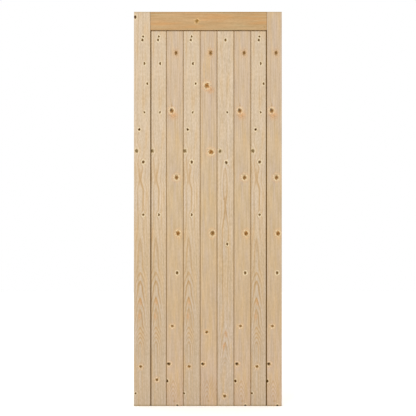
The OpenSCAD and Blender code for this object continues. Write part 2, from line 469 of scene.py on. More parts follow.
class PineShader:
    """Node tree of one timber's pine, laid on in layers."""

    # Streaks that bend the rings, tint the wood in patches and let the rings come and go
    wander_streak = Streak(45.0, 420.0, 2.0)
    patch_streak = Streak(20.0, 170.0, 2.0)
    cloud_streak = Streak(60.0, 260.0)
    # Real fibres and resin canals are far finer: drawn this coarse, they show from across a room
    fibre_streak = Streak(6.5, 130.0, 3.0)
    canal_streak = Streak(5.5, 14.0)
    # Streaks that make the edges of knots ragged and mottle them
    knot_edge_streak = Streak(6.0, 7.0)
    knot_mottle_streak = Streak(5.0, 6.0)
    # Strength of the noise's finer layers, and its steps along the three axes from seed to seed
    noise_roughness = 0.55
    seed_steps = (3.7, 1.9, 5.3)
    # Red, green and blue of the dullest and of the brightest fibres, as shares of the wood's colour
    fibre_tones = ((0.84, 0.82, 0.76, 1.0), (1.15, 1.17, 1.22, 1.0))
    # Cover of the strongest patches, and the noise values between which there is no patch
    patch_cover = 0.7
    patch_gap = (0.48, 0.52)
    # Smallest and largest share of the latewood that shows
    cloud_cover = (0.4, 1.0)
    # Latewood through one growth ring: it sets in slowly and ends sharply
    latewood_profile = ((0.0, BLACK), (0.5, BLACK), (0.82, WHITE), (0.93, WHITE), (1.0, BLACK))
    # Most that streaks and knots move the rings, in widths of a ring
    ring_wander = 1.2
    ring_bulge = 1.5
    # Distances from the pith, across the face, between which the rings weaken
    ring_edges = (12.0, 30.0)
    # Power of the rings' outline: 2 is a circle, and less gives the arches points
    ring_power = 1.5
    # Weight of the noise that makes a knot's edge ragged, in the knot's own radii
    knot_raggedness = 1.4
    # Darkest and lightest mottle in a knot, as shares of its colour
    knot_mottle = (0.5, 1.4)
    # Distances beside a joint, in millimetres, at which the shade painted in it sets in and is full
    joint_shade_reach = (4.0, 3.0)
    # Depths below the face between which that painted shade sets in, and the depth at which it ends
    joint_shade_depths = (0.2, 1.5)
    joint_shade_end = 12.0
    # Distances from the door's top and bottom edges between which a dark line fades out
    edge_fade = (4.0, 9.0)
    # Share of the line's strength at the top edge
    head_share = 0.4
    # Tints that darken the wood
    end_grain_tint = "#e4dfd6"
    edge_tint = "#d9d6c2"
    # Upright axis, and cosines of the angle to an axis between which a face comes to count as square to it
    up = (0.0, 0.0, 1.0)
    square_cosines = (0.75, 0.95)
    # Height of the rings beside that of the fibres, and strength and height of the relief in all
    ring_relief = 0.5
    relief_strength = 0.25
    relief_mm = 0.15

    def __init__(self, tree: bpy.types.NodeTree, finish: PineFinish, grain: Grain) -> None:
        """Keep the tree and find the shaded point in the wood.

        Args:
            tree: Node tree of the material.
            finish: Colours of the wood.
            grain: How the wood lies in the timber.
        """
        self.tree = tree
        self.finish = finish
        self.grain = grain
        self.coordinates = self.add("TexCoord", {})
        self.place = self.add(
            "Mapping",
            {
                "Vector": self.coordinates.outputs["Object"],
                "Location": grain.start,
                "Rotation": (0.0, math.radians(grain.lean), 0.0),
                "Scale": (MM, MM, MM),
            },
            vector_type="TEXTURE",
        ).outputs[0]
        axes = self.add("SeparateXYZ", {0: self.place})
        self.across, self.behind, self.along = axes.outputs

    def add(self, kind: str, sockets: Sockets, stops: Stops = (), **settings: object) -> Node:
        """Add a node to this tree."""
        return add_node(self.tree, kind, sockets, stops, **settings)

    def build(self) -> None:
        """Lay the layers of the wood over its ground and link them to the shader."""
        shader = self.tree.nodes["Principled BSDF"]
        shader.inputs["Roughness"].default_value = self.finish.roughness
        shader.inputs["Specular IOR Level"].default_value = self.finish.specular
        knots = self.knot_distances()
        rings = self.latewood(knots)
        fibres = self.fibres()
        layers = (
            self.patches(),
            self.ring_lines(rings),
            self.fibre_tint(fibres),
            *self.knot_marks(knots),
            # A darker line along the bottom edge, fainter along the top edge
            Layer(self.edge_cover(), linear(self.edge_tint)),
            Layer(self.facing(self.grain.axis), linear(self.end_grain_tint)),
            # Shade painted into the joints
            *(Layer(self.joint_shade_cover(joint), linear(joint.tint)) for joint in self.grain.joints),
        )
        wood = self.earlywood()
        for layer in layers:
            inputs = {0: layer.share, MIX_COLOUR_A: wood, MIX_COLOUR_B: layer.colour}
            mix = self.add("Mix", inputs, data_type="RGBA", blend_type=layer.blend.value)
            wood = mix.outputs[MIX_COLOUR_OUT]
        self.tree.links.new(wood, shader.inputs["Base Color"])
        relief = self.add("Math", {0: rings, 1: self.ring_relief, 2: fibres}, operation="MULTIPLY_ADD")
        inputs = {"Strength": self.relief_strength, "Distance": self.relief_mm * MM, "Height": relief}
        bump = self.add("Bump", inputs)
        self.tree.links.new(bump.outputs[0], shader.inputs["Normal"])

    def streaks(self, streak: Streak) -> Socket:
        """Add noise drawn out along the grain.

        Args:
            streak: Size of its features and number of finer layers.

        Returns:
            Values around 0.5.
        """
        stretch = (1 / streak.across, 1 / streak.across, 1 / streak.along)
        shift = tuple(step * self.grain.seed for step in self.seed_steps)
        place = self.add("VectorMath", {0: self.place, 1: stretch, 2: shift}, operation="MULTIPLY_ADD")
        inputs = {"Vector": place, "Scale": 1.0, "Detail": streak.detail, "Roughness": self.noise_roughness}
        return self.add("TexNoise", inputs).outputs[0]

    def fibres(self) -> Socket:
        """Add long fibres with short resin canals among them.

        Returns:
            How bright they are, from 0 to 1.
        """
        inputs = {
            0: self.finish.canals,
            MIX_NUMBER_A: self.streaks(self.fibre_streak),
            MIX_NUMBER_B: self.streaks(self.canal_streak),
        }
        both = self.add("Mix", inputs, data_type="FLOAT")
        return self.add("MapRange", {0: both, 1: NOISE_LOW, 2: NOISE_HIGH}).outputs[0]

    def knot_distances(self) -> dict[KnotKind, Socket]:
        """Measure how far the shaded point is from the knots, less or more by a ragged edge.

        Returns:
            For each kind, the distance to the nearest knot counted in that knot's own radii.
        """
        nearest: dict[KnotKind, Socket] = {}
        if not self.grain.knots:
            return nearest
        uneven = self.streaks(self.knot_edge_streak)
        ragged = self.add("Math", {0: uneven, 1: NOISE_MIDDLE}, operation="SUBTRACT")
        for knot in self.grain.knots:
            radii = (1 / knot.half_width, 0.0, 1 / knot.half_length)
            centre = (-knot.across / knot.half_width, 0.0, -knot.along / knot.half_length)
            offset = self.add("VectorMath", {0: self.place, 1: radii, 2: centre}, operation="MULTIPLY_ADD")
            distance = self.add("VectorMath", {0: offset}, operation="LENGTH").outputs["Value"]
            if knot.kind in nearest:
                pair = {0: nearest[knot.kind], 1: distance}
                distance = self.add("Math", pair, operation="MINIMUM").outputs[0]
            nearest[knot.kind] = distance
        for kind, distance in nearest.items():
            parts = {0: ragged, 1: self.knot_raggedness, 2: distance}
            nearest[kind] = self.add("Math", parts, operation="MULTIPLY_ADD").outputs[0]
        return nearest

    def pith_distances(self) -> tuple[Socket, Socket]:
        """Measure how far the shaded point is from the pith, whose depth changes along the grain.

        The distance is the root of a sum of powers of the distances in depth and across the face.

        Returns:
            The distance along the rings' outline, and the distance across the face alone.
        """
        log = self.grain.log
        depth: Value = log.pith_depth
        for low, high, rise in log.climbs:
            span = {0: self.along, 1: low, 2: high, 3: 0.0, 4: rise}
            step = self.add("MapRange", span, interpolation_type="SMOOTHSTEP")
            depth = self.add("Math", {0: depth, 1: step}, operation="ADD")
        sides = []
        for coordinate, pith in ((self.behind, depth), (self.across, log.pith_across)):
            offset = self.add("Math", {0: coordinate, 1: pith}, operation="SUBTRACT")
            sides.append(self.add("Math", {0: offset}, operation="ABSOLUTE").outputs[0])
        powers = [self.add("Math", {0: side, 1: self.ring_power}, operation="POWER") for side in sides]
        total = self.add("Math", dict(enumerate(powers)), operation="ADD")
        radius = self.add("Math", {0: total, 1: 1 / self.ring_power}, operation="POWER")
        return radius.outputs[0], sides[1]

    def latewood(self, knots: dict[KnotKind, Socket]) -> Socket:
        """Add growth rings: the distance from the pith counted in rings, bent by streaks and by knots.

        Args:
            knots: Distance to the nearest knot of each kind.

        Returns:
            The share of latewood, from 0 to 1.
        """
        log = self.grain.log
        radius, aside = self.pith_distances()
        parts = {0: self.streaks(self.wander_streak), 1: self.ring_wander * log.ring, 2: radius}
        radius = self.add("Math", parts, operation="MULTIPLY_ADD")
        for kind, distance in knots.items():
            spread = KNOT_LOOKS[kind].spread
            if not spread:
                continue
            share = self.add("Math", {0: distance, 1: spread}, operation="DIVIDE")
            square = self.add("Math", {0: share, 1: share}, operation="MULTIPLY")
            bulge = self.add("Math", {0: 1 / math.e, 1: square}, operation="POWER")
            parts = {0: bulge, 1: self.ring_bulge * log.ring, 2: radius}
            radius = self.add("Math", parts, operation="MULTIPLY_ADD")
        count = self.add("Math", {0: radius, 1: log.ring}, operation="DIVIDE")
        phase = self.add("Math", {0: count}, operation="FRACT")
        share = self.add("ValToRGB", {0: phase}, stops=self.latewood_profile).outputs[0]
        near, far = self.ring_edges
        fade = self.add("MapRange", {0: aside, 1: near, 2: far, 3: 1.0, 4: log.edge_share})
        return self.add("Math", {0: share, 1: fade}, operation="MULTIPLY").outputs[0]

    def earlywood(self) -> Socket:
        """Add the pale ground of the wood, whose colour changes along the grain.

        Returns:
            The colour of the ground.
        """
        height = self.add("Math", {0: self.along, 1: self.grain.length}, operation="DIVIDE")
        tones = tuple((share, linear(colour)) for share, colour in self.finish.tones)
        return self.add("ValToRGB", {0: height}, stops=tones).outputs[0]

    def patches(self) -> Layer:
        """Work out the long warm and cool patches.

        Returns:
            Their layer.
        """
        finish = self.finish
        cool_end, warm_start = self.patch_gap
        stops = (
            (NOISE_LOW, linear(finish.cool, self.patch_cover)),
            (cool_end, linear(finish.cool, 0.0)),
            (warm_start, linear(finish.warm, 0.0)),
            (NOISE_HIGH, linear(finish.warm, self.patch_cover)),
        )
        ramp = self.add("ValToRGB", {0: self.streaks(self.patch_streak)}, stops=stops)
        return Layer(ramp.outputs["Alpha"], ramp.outputs["Color"], Blend.COVER)

    def ring_lines(self, rings: Socket) -> Layer:
        """Work out the lines of latewood, which come and go along the timber.

        Args:
            rings: Share of latewood.

        Returns:
            Their layer.
        """
        least, most = self.cloud_cover
        span = {0: self.streaks(self.cloud_streak), 1: NOISE_LOW, 2: NOISE_HIGH, 3: least, 4: most}
        clouds = self.add("MapRange", span)
        cover = self.add("Math", {0: clouds, 1: self.finish.contrast}, operation="MULTIPLY")
        for low, high, before, after in self.grain.log.fades:
            span = {0: self.along, 1: low, 2: high, 3: before, 4: after}
            strength = self.add("MapRange", span, interpolation_type="SMOOTHSTEP")
            cover = self.add("Math", {0: cover, 1: strength}, operation="MULTIPLY")
        cover = self.add("Math", {0: cover, 1: rings}, operation="MULTIPLY")
        return Layer(cover, linear(self.finish.latewood), Blend.COVER)

    def fibre_tint(self, fibres: Socket) -> Layer:
        """Work out the dull and bright tint of the fibres.

        Args:
            fibres: How bright they are.

        Returns:
            Their layer.
        """
        dull, bright = self.fibre_tones
        tint = self.add("Mix", {0: fibres, MIX_COLOUR_A: dull, MIX_COLOUR_B: bright}, data_type="RGBA")
        return Layer(self.finish.fibres, tint.outputs[MIX_COLOUR_OUT])

    def knot_marks(self, knots: dict[KnotKind, Socket]) -> list[Layer]:
        """Work out the mottled knots.

        Args:
            knots: Distance to the nearest knot of each kind.

        Returns:
            A layer for each kind.
        """
        layers: list[Layer] = []
        if not knots:
            return layers
        dark, light = self.knot_mottle
        span = {0: self.streaks(self.knot_mottle_streak), 1: NOISE_LOW, 2: NOISE_HIGH, 3: dark, 4: light}
        mottle = self.add("MapRange", span)
        for kind, distance in knots.items():
            look = KNOT_LOOKS[kind]
            share = self.add("Math", {0: distance, 1: look.reach}, operation="DIVIDE")
            ramp = self.add("ValToRGB", {0: share}, stops=look.ramp())
            inputs = {0: 1.0, MIX_COLOUR_A: ramp.outputs["Color"], MIX_COLOUR_B: mottle}
            mix = self.add("Mix", inputs, data_type="RGBA", blend_type=Blend.TINT.value)
            layers.append(Layer(ramp.outputs["Alpha"], mix.outputs[MIX_COLOUR_OUT], Blend.COVER))
        return layers

    def edge_cover(self) -> Node:
        """Find the upright faces beside the door's bottom and top edges, which get a darker line.

        Returns:
            1 at the bottom edge, a smaller share at the top edge, and 0 away from both.
        """
        height = self.add("SeparateXYZ", {0: self.coordinates.outputs["Object"]}).outputs["Z"]
        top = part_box("left_stile")[1].z
        near, far = (reach * MM for reach in self.edge_fade)
        foot = self.add("MapRange", {0: height, 1: near, 2: far, 3: 1.0, 4: 0.0})
        span = {0: height, 1: top - far, 2: top - near, 3: 0.0, 4: self.head_share}
        head = self.add("MapRange", span)
        line = self.add("Math", {0: foot, 1: head}, operation="MAXIMUM")
        upright = self.add("Math", {0: 1.0, 1: self.facing(self.up)}, operation="SUBTRACT")
        return self.add("Math", {0: line, 1: upright}, operation="MULTIPLY")

    def facing(self, axis: Triple) -> Node:
        """Find the faces that are square to an axis.

        Args:
            axis: Direction with a length of 1.

        Returns:
            1 on those faces, and 0 on faces that lie 45 degrees or more from them.
        """
        normal = self.coordinates.outputs["Normal"]
        slope = self.add("VectorMath", {0: normal, 1: axis}, operation="DOT_PRODUCT")
        share = self.add("Math", {0: slope.outputs["Value"]}, operation="ABSOLUTE")
        low, high = self.square_cosines
        return self.add("MapRange", {0: share, 1: low, 2: high})

    def joint_shade_cover(self, joint: Joint) -> Node:
        """Find the faces in a joint on which shade is painted.

        Args:
            joint: Where the joint is.

        Returns:
            1 in the joint and 0 elsewhere.
        """
        coordinate = self.along if joint.at_end else self.across
        offset = self.add("Math", {0: coordinate, 1: joint.place}, operation="SUBTRACT")
        gap = self.add("Math", {0: offset}, operation="ABSOLUTE")
        start, full = self.joint_shade_reach
        near = self.add("MapRange", {0: gap, 1: start, 2: full, 3: 0.0, 4: 1.0})
        shallow, deep = self.joint_shade_depths
        sunk = self.add("MapRange", {0: self.behind, 1: shallow, 2: deep, 3: 0.0, 4: 1.0})
        inside = self.add("Math", {0: self.behind, 1: self.joint_shade_end}, operation="LESS_THAN")
        cover = self.add("Math", {0: near, 1: sunk}, operation="MULTIPLY")
        return self.add("Math", {0: cover, 1: inside}, operation="MULTIPLY")


@dataclass(frozen=True)
class ZincFinish:
    """Zinc-plated steel: a bright metal with a soft gloss that clouds a little from place to place.

    Attributes:
        bright: Colour of the clean plating.
        clouded: Colour where it has dulled.
        cloud_mm: Size of the clouds.
        cloud_detail: Number of finer layers in the clouds.
        cloud_span: Noise values at which the plating is clean and fully clouded.
        roughness: Lowest and highest roughness.
    """

    bright: str = "#d2d0c8"
    clouded: str = "#b1afa5"
    cloud_mm: float = 3.0
    cloud_detail: float = 2.0
    cloud_span: tuple[float, float] = (0.35, 0.65)
    roughness: tuple[float, float] = (0.28, 0.45)

    def material(self) -> bpy.types.Material:
        """Build the plating.

        Returns:
            A metal whose colour and gloss change from cloud to cloud.
        """
        material = bpy.data.materials.new("zinc_plated_steel")
        material.use_nodes = True
        tree = material.node_tree
        shader = tree.nodes["Principled BSDF"]
        shader.inputs["Metallic"].default_value = 1.0
        coordinates = add_node(tree, "TexCoord", {})
        scale = 1 / (self.cloud_mm * MM)
        inputs = {"Vector": coordinates.outputs["Object"], "Scale": scale, "Detail": self.cloud_detail}
        clouds = add_node(tree, "TexNoise", inputs)
        clean, dull = self.cloud_span
        stops = ((clean, linear(self.bright)), (dull, linear(self.clouded)))
        colour = add_node(tree, "ValToRGB", {0: clouds}, stops=stops)
        low, high = self.roughness
        rough = add_node(tree, "MapRange", {0: clouds, 1: clean, 2: dull, 3: low, 4: high})
        tree.links.new(colour.outputs[0], shader.inputs["Base Color"])
        tree.links.new(rough.outputs[0], shader.inputs["Roughness"])
        return material


@dataclass(frozen=True)
class Stock:
    """Timber from one log.

    Attributes:
        log: How it was cut.
        finish: Colours of the wood.
        knots: Knots that repeat in each piece of it.
        seed: Picks the wood's own streaks.
    """

    log: Log
    finish: PineFinish
    knots: tuple[Knot, ...]
    seed: float

    def shifted(self, shift: float) -> Stock:
        """Move the figure of the wood across the face.

        Args:
            shift: Distance in millimetres.

        Returns:
            The timber with its pith and knots moved.
        """
        log = replace(self.log, pith_across=self.log.pith_across + shift)
        knots = tuple(replace(knot, across=knot.across + shift) for knot in self.knots)
        return replace(self, log=log, knots=knots)


# Flat-sawn sapwood is pale with bold lines
PALE_PINE = PineFinish(
    tones=((0.2, "#b9a48a"), (0.36, "#bba485"), (0.55, "#c4af94"), (0.75, "#c1ad93")),
    latewood="#a57c40",
    warm="#c2a681",
    cool="#bdab96",
    contrast=1.0,
    canals=0.5,
)
# Rift-sawn wood is tan with faint lines
TAN_PINE = PineFinish(
    tones=((0.08, "#bea68d"), (0.2, "#baa182"), (0.56, "#bca585"), (0.85, "#bba58b")),
    latewood="#ad8757",
    warm="#c2a57c",
    cool="#b7a38f",
    contrast=0.4,
    fibres=0.85,
)
# Wood with more resin is orange
ORANGE_PINE = PineFinish(
    tones=((0.3, "#b4956f"), (0.7, "#b4956e")),
    latewood="#a67b3c",
    warm="#bd8f60",
    cool="#ad9874",
    contrast=0.8,
    fibres=0.85,
)
# The timbers at the back are plainer, and between these in colour
BACK_PINE = PineFinish(
    tones=((0.1, "#bfa27c"), (0.6, "#c2a67f")),
    latewood="#a8804f",
    warm="#c49c70",
    cool="#bba680",
    contrast=0.5,
)
# Only end grain shows of the wedges, which is darker and duller
WEDGE_PINE = PineFinish(
    tones=((0.0, "#b3926a"), (1.0, "#b6946c")),
    latewood="#957044",
    warm="#b58a5e",
    cool="#ae9470",
    contrast=0.45,
    roughness=0.8,
)

# Shade painted into the joints: darker in the wide joints beside the frame than in the fine V joints
# between boards
WIDE_JOINT_SHADE = "#ae9254"
FINE_JOINT_SHADE = "#eadfca"

# Flat-sawn timbers show arches where the pith runs deeper up the door, and waists where it turns back
FLAT_SAWN = Log(
    ring=7.2,
    pith_across=-8.0,
    pith_depth=27.0,
    climbs=(
        (300.0, 430.0, 28.8),
        (430.0, 608.0, 14.4),
        (600.0, 730.0, 14.4),
        (730.0, 1000.0, 6.3),
        (1105.0, 1171.0, 4.5),
        (1171.0, 1260.0, -3.0),
    ),
    fades=((210.0, 300.0, 0.3, 0.75), (620.0, 900.0, 1.0, 1.25), (1180.0, 1400.0, 1.0, 0.3)),
    edge_share=0.3,
)
# Rift-sawn timbers show fine straight lines, but for a few arches at the foot
RIFT_SAWN = Log(
    ring=5.4,
    pith_across=-10.0,
    pith_depth=30.0,
    climbs=((20.0, 150.0, 21.6), (150.0, 420.0, 27.0)),
    fades=((110.0, 190.0, 2.0, 0.3), (1400.0, 1560.0, 1.0, 2.4)),
)

SHARED_PALE_KNOTS = (
    Knot(6, 1905, 4.5, 5),
    Knot(2, 1887, 5, 6),
    Knot(13, 1765, 4.5, 6),
    Knot(12, 1514, 4, 5),
    Knot(-28, 1315, 7.5, 9, KnotKind.GREY),
    Knot(7, 986, 5, 6),
    Knot(-6.5, 535, 6, 18, KnotKind.FLARE),
    Knot(-12, 462, 6, 18, KnotKind.FLARE),
)
PALE_KNOTS = (
    *SHARED_PALE_KNOTS,
    Knot(27, 1662, 4.5, 5.5),
    Knot(-14, 1426, 5.5, 6, KnotKind.DEAD),
    Knot(7, 1258, 6, 7),
    Knot(-7, 204, 6.5, 6.5, KnotKind.BROWN),
    Knot(-33, 66, 4.5, 5),
)
TAN_KNOTS = (
    Knot(5, 1821, 7, 10, KnotKind.STAINED),
    Knot(-17, 1522, 8.5, 9.5, KnotKind.BROWN),
    Knot(-22, 1527, 4, 6.5, KnotKind.CHECK),
    Knot(-17, 1551, 1.8, 8, KnotKind.GHOST),
    Knot(-8, 1496, 22, 20, KnotKind.FLARE),
    Knot(7, 1179, 8.5, 9.5, KnotKind.BROWN),
    Knot(15, 890, 8.5, 10, KnotKind.RUST),
    Knot(11, 687, 6, 7),
    Knot(-14, 412, 6.5, 6, KnotKind.BROWN),
    Knot(-31, 217, 7, 6.5, KnotKind.BROWN),
    Knot(-35, 219, 6, 6.5, KnotKind.CHECK),
    Knot(-40, 130, 5, 7, KnotKind.DEAD),
    Knot(-4, 26, 4, 3.5, KnotKind.GHOST),
    Knot(11, 4, 5, 5, KnotKind.DEAD),
)

PALE = Stock(FLAT_SAWN, PALE_PINE, PALE_KNOTS, seed=1.0)
TAN = Stock(RIFT_SAWN, TAN_PINE, TAN_KNOTS, seed=2.0)
FIRST_PALE = replace(PALE, knots=(*SHARED_PALE_KNOTS, Knot(-4, 136, 6.5, 6.5, KnotKind.BROWN)))
FOURTH_TAN = Stock(
    RIFT_SAWN,
    TAN_PINE,
    (
        Knot(9, 1821, 7.5, 10.5, KnotKind.STAINED),
        Knot(-10, 1652, 10, 11, KnotKind.RUST),
        Knot(8, 1630, 18, 18, KnotKind.FLARE),
        Knot(12, 1310, 10, 10, KnotKind.RUST),
        Knot(19, 890, 9, 10.5, KnotKind.BROWN),
        Knot(-11, 381, 6.5, 6, KnotKind.BROWN),
        Knot(-30, 217, 7, 6.5, KnotKind.BROWN),
        Knot(-34, 219, 6, 6.5, KnotKind.CHECK),
        Knot(-2, 26, 4, 3.5, KnotKind.GHOST),
    ),
    seed=2.5,
)
FIFTH_PALE = Stock(
    replace(
        FLAT_SAWN,
        pith_across=-4.0,
        climbs=(
            (150.0, 280.0, 28.8),
            (272.0, 450.0, 14.4),
            (900.0, 1027.0, 4.3),
            (1027.0, 1130.0, -3.3),
            (1140.0, 1330.0, 6.2),
        ),
        fades=((170.0, 330.0, 0.1, 0.65), (1180.0, 1400.0, 1.0, 0.35)),
    ),
    replace(PALE_PINE, tones=((0.2, "#bba790"), *PALE_PINE.tones[1:])),
    (
        Knot(-1, 1887, 5, 6),
        Knot(8, 1514, 4, 5),
        Knot(-29, 1314, 7.5, 9, KnotKind.GREY),
        Knot(3, 1256, 6, 7),
        Knot(-8, 1068, 4, 5, KnotKind.GHOST),
        Knot(8, 835, 5, 6),
        Knot(2, 371, 7, 20, KnotKind.FLARE),
        Knot(-9, 310, 7, 18, KnotKind.FLARE),
        Knot(-6, 52, 6.5, 6.5, KnotKind.BROWN),
    ),
    seed=1.4,
)


@dataclass
class Assembly:
    """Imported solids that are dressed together.

    Attributes:
        solids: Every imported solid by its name.
    """

    solids: dict[str, bpy.types.Object]

    def build(self) -> None:
        """Dress the solids of this assembly."""
        raise NotImplementedError

    def dress(self, node: str, finish: PineFinish, grain: Grain) -> None:
        """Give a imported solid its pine.

        Args:
            node: Name of the solid.
            finish: Colours of the wood.
            grain: How the wood lies in it.
        """
        materials = self.solids[node].data.materials
        materials.clear()
        materials.append(finish.material(node, grain))
        LOGGER.info("%s: dressed", node)


@dataclass
class OuterFrame(Assembly):
    """The two stiles and the top rail between them.

    Attributes:
        left_shift: Shift of the stock's figure on the left stile, in millimetres.
        right_shift: Shift of the stock's figure on the right stile, in millimetres.
        edge_knot: Knot that only the left stile has, near its outer edge.
        rail_log: How the top rail was cut.
        rail_knots: Knots of the top rail.
        rail_seed: Picks the streaks of the top rail.
    """

    left_shift: float = -1.0
    right_shift: float = 4.0
    edge_knot: Knot = Knot(-36, 2005, 6, 8, KnotKind.DEAD)
    rail_log: Log = Log(ring=5.0, pith_across=-58.0, pith_depth=62.0)
    rail_knots: tuple[Knot, ...] = (
        Knot(0, 325, 8, 9, KnotKind.SOUND),
        Knot(30, 676, 3, 8, KnotKind.GHOST),
    )
    rail_seed: float = 5.0

    def build(self) -> None:
        """Dress the stiles and the rail."""
        left = PALE.shifted(self.left_shift)
        self._stile("left_stile", replace(left, knots=(*left.knots, self.edge_knot)), inner=1.0)
        self._stile("right_stile", TAN.shifted(self.right_shift), inner=-1.0)
        self._top_rail()

    def _stile(self, node: str, stock: Stock, inner: float) -> None:
        """Dress a stile.

        Args:
            node: Name of the stile.
            stock: Timber that it was cut from.
            inner: 1 where the boarding is at its right, -1 where it is at its left.
        """
        low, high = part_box(node)
        half_width = (high.x - low.x) / 2 / MM
        grain = Grain(
            start=((low.x + high.x) / 2, low.y, low.z),
            lean=UPRIGHT,
            length=(high.z - low.z) / MM,
            log=stock.log,
            knots=stock.knots,
            # Shade painted into the joint beside the boarding
            joints=(Joint(inner * half_width, WIDE_JOINT_SHADE),),
            seed=stock.seed,
        )
        self.dress(node, stock.finish, grain)

    def _top_rail(self) -> None:
        """Dress the top rail, whose grain runs across the door from the end of its left tenon."""
        low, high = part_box("top_rail")
        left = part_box("left_stile")[1].x
        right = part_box("right_stile")[0].x
        grain = Grain(
            start=(low.x, low.y, (low.z + high.z) / 2),
            lean=ACROSS,
            length=(high.x - low.x) / MM,
            log=self.rail_log,
            knots=self.rail_knots,
            # Shade painted into the joints below the rail and at its ends against the stiles
            joints=(
                Joint((high.z - low.z) / 2 / MM, WIDE_JOINT_SHADE),
                Joint((left - low.x) / MM, WIDE_JOINT_SHADE, at_end=True),
                Joint((right - low.x) / MM, WIDE_JOINT_SHADE, at_end=True),
            ),
            seed=self.rail_seed,
        )
        self.dress("top_rail", ORANGE_PINE, grain)


@dataclass
class Boarding(Assembly):
    """Seven V-jointed boards, cut in turn from pale and from tan stock.

    Attributes:
        stocks: Timber of each board from the left, with the shift of its figure in millimetres.
        tongue: Length of the tongues in millimetres.
    """

    stocks: tuple[tuple[Stock, float], ...] = (
        (FIRST_PALE, -5.5),
        (TAN, 1.0),
        (PALE, -7.0),
        (FOURTH_TAN, 1.0),
        (FIFTH_PALE, 1.0),
        (TAN, 4.0),
        (PALE, -1.5),
    )
    tongue: float = 8.0

    def build(self) -> None:
        """Dress the boards."""
        for number, (whole, shift) in enumerate(self.stocks, start=1):
            stock = whole.shifted(shift)
            node = f"board_{number}"
            low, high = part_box(node)
            # Only the first board has a tongue on its left, where the others have a groove
            left = low.x + (self.tongue * MM if number == 1 else 0.0)
            right = high.x - self.tongue * MM
            half_width = (right - left) / 2 / MM
            length = (high.z - low.z) / MM
            grain = Grain(
                start=((left + right) / 2, low.y, low.z),
                lean=UPRIGHT,
                length=length,
                log=stock.log,
                knots=stock.knots,
                # Shade painted into the joints at both sides and below the top rail
                joints=(
                    Joint(-half_width, WIDE_JOINT_SHADE if number == 1 else FINE_JOINT_SHADE),
                    Joint(half_width, WIDE_JOINT_SHADE if number == len(self.stocks) else FINE_JOINT_SHADE),
                    Joint(length - self.tongue, FINE_JOINT_SHADE, at_end=True),
                ),
                seed=stock.seed,
            )
            self.dress(node, stock.finish, grain)


@dataclass
class Bracing(Assembly):
    """Ledges and braces behind the boards, and the wedges in the edges of the stiles.

    Attributes:
        ledge_log: How the ledges were cut: their face is the back, so depths are negative.
        brace_log: How the braces were cut.
        wedge_log: How the wedges were cut.
        ledges: Name, seed and knots of each ledge.
        braces: Name, seed and knots of each brace.
        wedges: Name and seed of each group of wedges.
    """

    ledge_log: Log = Log(4.0, pith_across=12.0, pith_depth=-45.0, climbs=((150.0, 420.0, -9.0),))
    brace_log: Log = Log(3.8, pith_across=-8.0, pith_depth=-38.0, climbs=((200.0, 700.0, -14.0),))
    wedge_log: Log = Log(2.4, pith_across=30.0, pith_depth=40.0)
    ledges: tuple[tuple[str, float, tuple[Knot, ...]], ...] = (
        ("middle_ledge", 6.0, (Knot(-38, 235, 9, 10, KnotKind.BROWN), Knot(41, 590, 6, 7))),
        ("bottom_ledge", 7.0, (Knot(22, 310, 8, 9, KnotKind.BROWN), Knot(-50, 505, 6, 7))),
    )
    braces: tuple[tuple[str, float, tuple[Knot, ...]], ...] = (
        ("upper_brace", 8.0, (Knot(12, 340, 8, 9, KnotKind.BROWN), Knot(-18, 760, 6, 7))),
        ("lower_brace", 9.0, (Knot(-15, 420, 8, 9, KnotKind.BROWN), Knot(20, 610, 5, 6))),
    )
    wedges: tuple[tuple[str, float], ...] = (
        ("top_rail_wedges", 10.0),
        ("middle_ledge_wedges", 11.0),
        ("bottom_ledge_wedges", 12.0),
    )

    def build(self) -> None:
        """Dress the timbers at the back."""
        for node, seed, knots in self.ledges:
            self._ledge(node, seed, knots)
        for node, seed, knots in self.braces:
            self._brace(node, seed, knots)
        for node, seed in self.wedges:
            self._wedges(node, seed)

    def _ledge(self, node: str, seed: float, knots: tuple[Knot, ...]) -> None:
        """Dress a ledge, whose grain runs across the door.

        Args:
            node: Name of the ledge.
            seed: Picks its streaks.
            knots: Its knots.
        """
        low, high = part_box(node)
        start = (low.x, high.y, (low.z + high.z) / 2)
        grain = Grain(start, ACROSS, (high.x - low.x) / MM, self.ledge_log, knots, seed=seed)
        self.dress(node, BACK_PINE, grain)

    def _brace(self, node: str, seed: float, knots: tuple[Knot, ...]) -> None:
        """Dress a brace, whose grain follows the diagonal of its box.

        Args:
            node: Name of the brace.
            seed: Picks its streaks.
            knots: Its knots.
        """
        low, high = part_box(node)
        run = high.x - low.x
        rise = high.z - low.z
        lean = math.degrees(math.atan2(run, rise))
        length = math.hypot(run, rise) / MM
        grain = Grain((low.x, high.y, low.z), lean, length, self.brace_log, knots, seed=seed)
        self.dress(node, BACK_PINE, grain)

    def _wedges(self, node: str, seed: float) -> None:
        """Dress wedges, whose grain runs across the door.

        Args:
            node: Name of the group of wedges.
            seed: Picks their streaks.
        """
        low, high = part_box(node)
        start = (low.x, low.y, (low.z + high.z) / 2)
        grain = Grain(start, ACROSS, (high.x - low.x) / MM, self.wedge_log, seed=seed)
        self.dress(node, WEDGE_PINE, grain)


